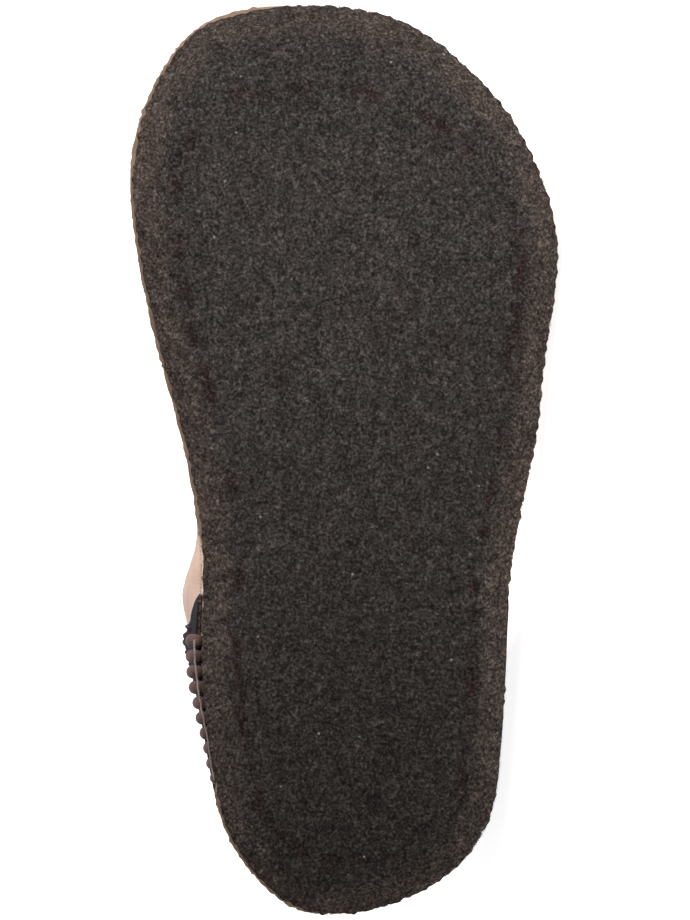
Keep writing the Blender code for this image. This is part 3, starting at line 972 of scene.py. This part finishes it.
def make_felt_sole():
    """Felt sole, with a rough lip that shows beyond the rubber on the medial side."""
    u = np.arange(FELT_AROUND) / FELT_AROUND
    under = TREAD + JOINT_GAP / 2.0
    lip = medial_side(u) * (1.0 - np.clip(stand(u) / (0.4 * MM), 0.0, 1.0))
    lip = (lip * (1.0 - LIP_TUCKED * tucked(u)))[:, None]
    rough = np.array([soft_noise(Vector(point) * 1000.0, 0.8) for point in sole_ring(u, 0.0, 0.0)])
    outer = [layer_ring(u, along, under) for along in LAYER_WALK[::-1] + (0.06,)]
    rim = []
    for height in (0.0, 0.5 * MM):
        close = layer_ring(u, 0.0, under + height)
        wide = sole_ring(u, -FELT_LIP - LIP_ROUGH * rough, edge_lift(u) + 0.8 * TREAD + height)
        rim.append(close + (wide - close) * lip)
    channel = [seam_ring(u, -SEAM_COVER * share, JOINT_GAP) for share in SEAM_WALK[::-1]]
    inner = [layer_ring(u, along, TREAD + JOINT_GAP + SOLE_FELT) for along in LAYER_WALK]
    made = layer_object("sole_felt", outer + rim + channel + inner, 1, EDGE_FELT)
    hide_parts("felt_sole")


def make_insole():
    u = np.arange(FELT_AROUND) / FELT_AROUND
    under = TREAD + SOLE_FELT + 2.0 * JOINT_GAP
    lower = [layer_ring(u, along, under) for along in LAYER_WALK[::-1]]
    side = lower[-1] + np.array((0.0, 0.0, INSOLE * INSOLE_SIDE))
    upper = [layer_ring(u, along, under + INSOLE) for along in (0.16, 0.25, 0.34, 0.47, 0.60, 0.8, 1.0)]
    rings = (lower + [side] + upper)[::-1]
    made = layer_object("felt_insole", rings, INSOLE_ACROSS, INSOLE_FELT)
    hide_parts("insole")


def make_seam():
    """Core of the seam, and the yarn's overcast loops round it."""
    u, _ = even_way(FELT_AROUND)
    shrink = (1.0 - CORE_SHARE) * SEAM_WIDTH / 2.0
    core = [seam_ring(u, 360.0 * i / CORE_SIDES, -shrink) for i in range(CORE_SIDES)]
    core_object = rings_object("seam_core", core, PLUM_YARN)
    tubes = []
    for k in range(STITCHES):
        tubes += stitch(k)
    loops = tubes_object("overcast_loops", tubes, PLUM_YARN)
    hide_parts("edge_seam")


def stitch(k):
    """Strands of one loop: out from under the rubber's rim, round the seam and into the upper."""
    place = STITCH_PLACES[k]
    after = STITCH_PLACES[(k + 1) % STITCHES] + (1.0 if k == STITCHES - 1 else 0.0)
    chance = noise.noise(Vector((k * 3.7, 1.3, 0.0)))
    far = float(stand(place))
    loose = far > LOOSE_FROM
    walk = np.linspace(0.0, 1.0, LOOP_POINTS)
    slant = STITCH_SLANT * (0.5 if loose else 1.0)
    at = place + (after - place) * slant * (walk - 0.5) * (1.0 + 0.4 * chance)
    angle = LOOP_FROM + (LOOP_TO - LOOP_FROM) * np.minimum(walk / PIERCED, 1.0)
    path = seam_ring(at, angle, LOOP_CHANCE * chance - (LOOSE_DEPTH if loose else LOOP_DEPTH))
    if loose:
        far += LOOSE_DEPTH - LOOSE_STRAND
    out = far * (1.0 + 0.10 * chance) * np.sin(np.pi * np.minimum(walk / 0.9, 1.0)) ** 0.7
    out = outward(at) * (out - TUCKED_IN * float(tucked(place)))[:, None]
    path += out
    over = walk > PIERCED
    climb = (walk[over] - PIERCED) / (1.0 - PIERCED)
    up = PIERCED_UP[0] + (PIERCED_UP[1] - PIERCED_UP[0]) * climb
    path[over] = on_upper(at[over], up, PIERCED_HIGH - PIERCED_DEEP * climb**2) + out[over]
    fade = np.sin(np.pi * np.clip(walk, 0.03, 0.97)) ** 0.35
    if loose:
        return [tube_points(path, LOOSE_STRAND * (0.35 + 0.65 * fade), LOOSE_SIDES)]
    ahead = unit(np.gradient(path, axis=0))
    aside = unit(np.cross(ahead, np.tile(outward(np.array([place])), (len(path), 1))))
    lift = np.cross(ahead, aside)
    turn = np.pi * 2.2 * walk + chance * 3.0
    tubes = []
    for strand in (0.0, np.pi):
        wide = STRAND * STRANDS_ASIDE * np.cos(turn + strand) * fade
        high = STRAND * STRANDS_RAISED * np.sin(turn + strand) * fade
        line = path + aside * wide[:, None] + lift * high[:, None]
        tubes.append(tube_points(line, STRAND * (0.75 + 0.25 * fade), LOOP_SIDES))
    return tubes


def make_thread():
    """Pale thread along the loops on the medial side of the heel."""
    shares = np.linspace(THREAD_FROM, THREAD_TO, 120)
    u = np.array([1.0 - way_round(share) for share in shares])
    places = [row.share for row in STAND_SECTIONS]
    beyond = np.interp(shares, places, [row.thread * MM for row in STAND_SECTIONS])
    line = sole_ring(u, -beyond, edge_lift(u) + np.interp(shares, (0.18, 0.23), THREAD_HEIGHTS))
    for i, share in enumerate(shares):
        for axis in range(3):
            line[i, axis] += THREAD_WOBBLE * noise.noise(Vector((share * 160.0, 2.0, 7.0 + 10.3 * axis)))
    made = tubes_object("pale_thread", [tube_points(line, THREAD_RADIUS, 6)], THREAD)


def make_heel_stitches():
    """Overcast stitches along the heel piece's free edge."""
    last = way_round(STITCHED_TO)
    fine = np.linspace(-last, LATERAL_STITCHED * last, 4001)
    line = on_upper(fine, counter_top(fine), 0.0)
    way = np.concatenate([[0.0], np.cumsum(np.linalg.norm(np.diff(line, axis=0), axis=-1))])
    count = round(way[-1] / HEEL_STITCH_PITCH)
    walk = np.linspace(0.0, 1.0, 9)
    across = np.interp(walk, (0.0, 1.0), HEEL_STITCH_ACROSS)[:, None] * MM
    high = np.interp(walk, HEEL_STITCH_PLACES, HEEL_STITCH_HEIGHTS)[:, None] * MM
    slant = (walk - 0.5)[:, None] * HEEL_STITCH_LEAN * MM
    tubes = []
    for k in range(count + 1):
        spot = way[-1] * (k + 0.02) / (count + 0.04)
        u = np.interp(spot, way, fine)
        around = np.interp(spot + np.array((-0.4, 0.4)) * MM, way, fine)
        ends = on_upper(around, counter_top(around), 0.0)
        ahead = unit(ends[1] - ends[0])
        middle = on_upper(np.array((u, u)), np.full(2, counter_top(u)), np.array((0.0, MM)))
        normal = unit(middle[1] - middle[0])
        aside = np.cross(ahead, normal)
        lower = on_upper(np.array([u]), np.array([max(counter_top(u) - 0.03, 0.0)]), 0.0)[0]
        if np.dot(lower - middle[0], aside) < 0.0:
            aside = -aside
        tube = middle[0] + aside * across + normal * high + ahead * slant
        tubes.append(tube_points(tube, HEEL_STRAND, LOOP_SIDES))
    made = tubes_object("heel_stitches", tubes, NAVY_YARN)


def hairs_object(name, root, middle, end, side, material):
    """Thin tapering hairs through their roots, middles and ends."""
    near, far = side, side * HAIR_TAPER
    points = np.stack([root - near, root + near, middle - far, middle + far, end], axis=1)
    faces = []
    for b in range(0, 5 * len(root), 5):
        faces += [(b, b + 1, b + 3, b + 2), (b + 2, b + 3, b + 4)]
    return mesh_object(name, points.reshape(-1, 3), faces, material)


def make_edge_wool():
    """Short wool hairs round the sole's edge, but for where the loops stand out."""
    chance = np.random.default_rng(11)
    u = chance.random(EDGE_HAIRS)
    u = u[stand(u) == 0.0]
    count = len(u)
    deep = np.interp(medial_side(u), (0.0, 1.0), EDGE_HAIR_ROOTS)
    root = sole_ring(u, deep, edge_lift(u) + (0.8 + 0.7 * chance.random(count)) * MM)
    lean = chance.normal(size=(count, 3)) * np.array((0.7, 0.7, 0.5))
    length = (0.25 + 0.45 * chance.random(count) ** 2)[:, None] * MM
    curl = unit(chance.normal(size=(count, 3)))
    ahead = unit(outward(u) + lean)
    middle = root + ahead * length * 0.5
    end = middle + unit(ahead + 0.7 * curl) * length * 0.5
    side = unit(np.cross(ahead, curl)) * EDGE_HAIR_HALF
    made = hairs_object("edge_wool", root, middle, end, side, EDGE_WOOL)
    # Mask of the painted shade on the lateral side's hairs
    store(made, "medial", np.repeat(medial_side(u), 5))


def fold_depth(points):
    """Depth of the soft folds at points of the upper, in metres."""
    depth = np.zeros(points.shape[:-1])
    for fold in FOLDS:
        places = [way_round(share) for share in (fold.share_a, fold.share_b)]
        if fold.side < 0:
            places = [1.0 - place for place in places]
        places = np.linspace(*places, FOLD_POINTS)
        line = upper_face(places, np.linspace(fold.up_a, fold.up_b, FOLD_POINTS))
        gaps = np.linalg.norm(points[..., None, :] - line, axis=-1)
        nearest = gaps.min(axis=-1)
        way = gaps.argmin(axis=-1) / (FOLD_POINTS - 1)
        fade = np.sin(np.pi * np.clip(way * 0.84 + 0.08, 0.0, 1.0))
        depth += fold.depth * MM * fade * np.exp(-((nearest / (fold.width * MM / 1.6)) ** 2))
    return depth


def wall(u, walk, offset):
    """Rows of points up the upper, off its outer face by offset, with the soft folds in them."""
    around, up = np.meshgrid(u, walk)
    depth = fold_depth(upper_face(around, up)) * np.sin(np.pi * up) ** 0.5
    return list(on_upper(around, up, offset - depth))


def make_upper():
    """Felt upper with soft folds, a rounded rim at the collar and its own thickness."""
    u = np.arange(UPPER_AROUND) / UPPER_AROUND
    foot = [seam_ring(u, SEAM_COVER * share, JOINT_GAP) for share in SEAM_WALK[:-1]]
    outer = wall(u, np.linspace(0.0, 1.0, UPPER_ROWS), 0.0)
    half = UPPER_FELT / 2.0
    rim = []
    for turn in np.radians(np.linspace(20.0, 160.0, 8)):
        rim.append(on_upper(u, np.ones_like(u), half * (math.cos(turn) - 1.0), half * math.sin(turn)))
    inner = wall(u, np.linspace(1.0, 0.0, INNER_ROWS)[:-1], -UPPER_FELT)
    low = on_upper(u, np.zeros_like(u), -UPPER_FELT)
    low[:, 2] = foot[0][:, 2]
    rings = foot + outer + rim + inner + [low]
    made = rings_object("felt_upper", rings[::-1], ROSE_FELT)
    bend(made, lambda point, i: relief(point, UPPER_RELIEF))
    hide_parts("upper")


def counter_top(u):
    """Height of the heel piece's free edge, as a share up the wall."""
    places = [way_round(row.share) for row in COUNTER_SECTIONS]
    tops = [row.top for row in COUNTER_SECTIONS]
    return np.interp(np.abs(u), places, tops)


def make_counter():
    """Navy felt piece round the heel, with soft rounded edges."""
    last = way_round(COUNTER_SECTIONS[-1].share)
    u = np.linspace(-last, last, COUNTER_AROUND)
    around, up = np.meshgrid(u, np.linspace(0.0, 1.0, COUNTER_ROWS))
    v = COUNTER_FOOT + (counter_top(around) - COUNTER_FOOT) * up
    near_end = (last - np.abs(around)) / last * END_RISE
    near_edge = np.minimum(up, 1.0 - up) * EDGE_RISE
    edge = np.clip(np.minimum(near_end, near_edge), 0.0, 1.0)
    round_edge = np.sqrt(1.0 - (1.0 - edge) ** 2)
    press = np.interp(v, (PRESS_FOOT, PRESS_FOOT + PRESS_REACH), (COUNTER_PRESS, 1.0))
    outer = on_upper(around, v, COUNTER_EDGE + (COUNTER_FELT * press + COUNTER_CROWN) * round_edge)
    inner = on_upper(around, v, COUNTER_GAP)
    rows, columns = around.shape
    count = rows * columns
    faces = grid_faces(rows, columns)
    faces += [face[::-1] for face in grid_faces(rows, columns, count)]
    border = list(range(columns))
    border += [r * columns + columns - 1 for r in range(1, rows)]
    border += [(rows - 1) * columns + c for c in range(columns - 2, -1, -1)]
    border += [r * columns for r in range(rows - 2, 0, -1)]
    for a, b in zip(border, border[1:] + border[:1]):
        faces.append((b, a, a + count, b + count))
    points = np.concatenate([outer.reshape(-1, 3), inner.reshape(-1, 3)])
    made = mesh_object("heel_piece", points, [face[::-1] for face in faces], NAVY_FELT)
    bend(made, lambda point, i: relief(point, COUNTER_RELIEF))
    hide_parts("heel_counter")


def make_fuzz():
    """Short wool fibres that stand off the upper's outer face."""
    chance = np.random.default_rng(7)
    u = chance.random(FUZZ_HAIRS)
    v = chance.random(FUZZ_HAIRS) * 0.99
    root = on_upper(u, v, np.full(FUZZ_HAIRS, -FUZZ_ROOT))
    normal = unit(on_upper(u, v, np.full(FUZZ_HAIRS, MM)) - root)
    lean = unit(chance.normal(size=(FUZZ_HAIRS, 3)))
    lean = unit(lean - normal * (lean * normal).sum(axis=-1)[:, None])
    length = (0.5 + 1.1 * chance.random(FUZZ_HAIRS) ** 2)[:, None] * MM
    curl = unit(chance.normal(size=(FUZZ_HAIRS, 3)))
    middle = root + normal * length * 0.45 + lean * length * 0.35
    end = root + normal * length * 0.62 + lean * length + curl * length * 0.25
    side = unit(np.cross(normal, lean)) * FUZZ_HAIR_HALF
    made = hairs_object("upper_fuzz", root, middle, end, side, ROSE_FELT)


# Stage


def make_camera():
    """Camera square to the sole, turned a little to the medial side, with the toe up in its frame."""
    data = bpy.data.cameras.new("camera")
    data.sensor_width = SENSOR
    data.lens = SENSOR * CAMERA_DISTANCE / FRAME_TALL
    data.dof.use_dof = False
    camera = bpy.data.objects.new("camera", data)
    bpy.context.scene.collection.objects.link(camera)
    lean, ahead = math.radians(MEDIAL_LEAN), math.radians(TOE_LEAN)
    back = -UP * math.cos(lean) * math.cos(ahead) - LATERAL * math.sin(lean) + TOE * math.sin(ahead)
    back.normalize()
    right = TOE.cross(back).normalized()
    aim = Vector(in_row(AIM))
    turn = Matrix((right, back.cross(right), back)).transposed()
    camera.matrix_world = Matrix.Translation(aim + back * CAMERA_DISTANCE) @ turn.to_4x4()
    data.clip_start, data.clip_end = 0.05, 50.0
    bpy.context.scene.camera = camera


def make_softbox(box):
    data = bpy.data.lights.new(box.name, "AREA")
    data.shape = "RECTANGLE"
    data.size = data.size_y = box.size
    data.energy = box.power
    light = bpy.data.objects.new(box.name, data)
    light.location = box.place
    light.rotation_mode = "QUATERNION"
    light.rotation_quaternion = (Vector(box.aim) - Vector(box.place)).to_track_quat("-Z", "Y")
    bpy.context.scene.collection.objects.link(light)


def make_stage():
    """Large pale floor, and soft light that is strongest from above the toe."""
    mesh = bpy.data.meshes.new("floor")
    corners = [(x * FLOOR_HALF, y * FLOOR_HALF, 0.0) for x, y in ((-1, -1), (1, -1), (1, 1), (-1, 1))]
    mesh.from_pydata(corners, [], [(0, 1, 2, 3)])
    mesh.materials.append(floor_material())
    floor = bpy.data.objects.new("floor", mesh)
    bpy.context.scene.collection.objects.link(floor)
    world = bpy.data.worlds.new("soft_room")
    bpy.context.scene.world = world
    world.use_nodes = True
    background = world.node_tree.nodes["Background"]
    background.inputs["Color"].default_value = WHITE
    background.inputs["Strength"].default_value = ROOM_LIGHT
    for box in SOFTBOXES:
        make_softbox(box)
    bpy.context.scene.view_settings.view_transform = "Standard"


make_camera()
make_tread()
make_felt_sole()
make_seam()
make_thread()
make_edge_wool()
make_upper()
make_fuzz()
make_counter()
make_heel_stitches()
make_insole()
make_stage()
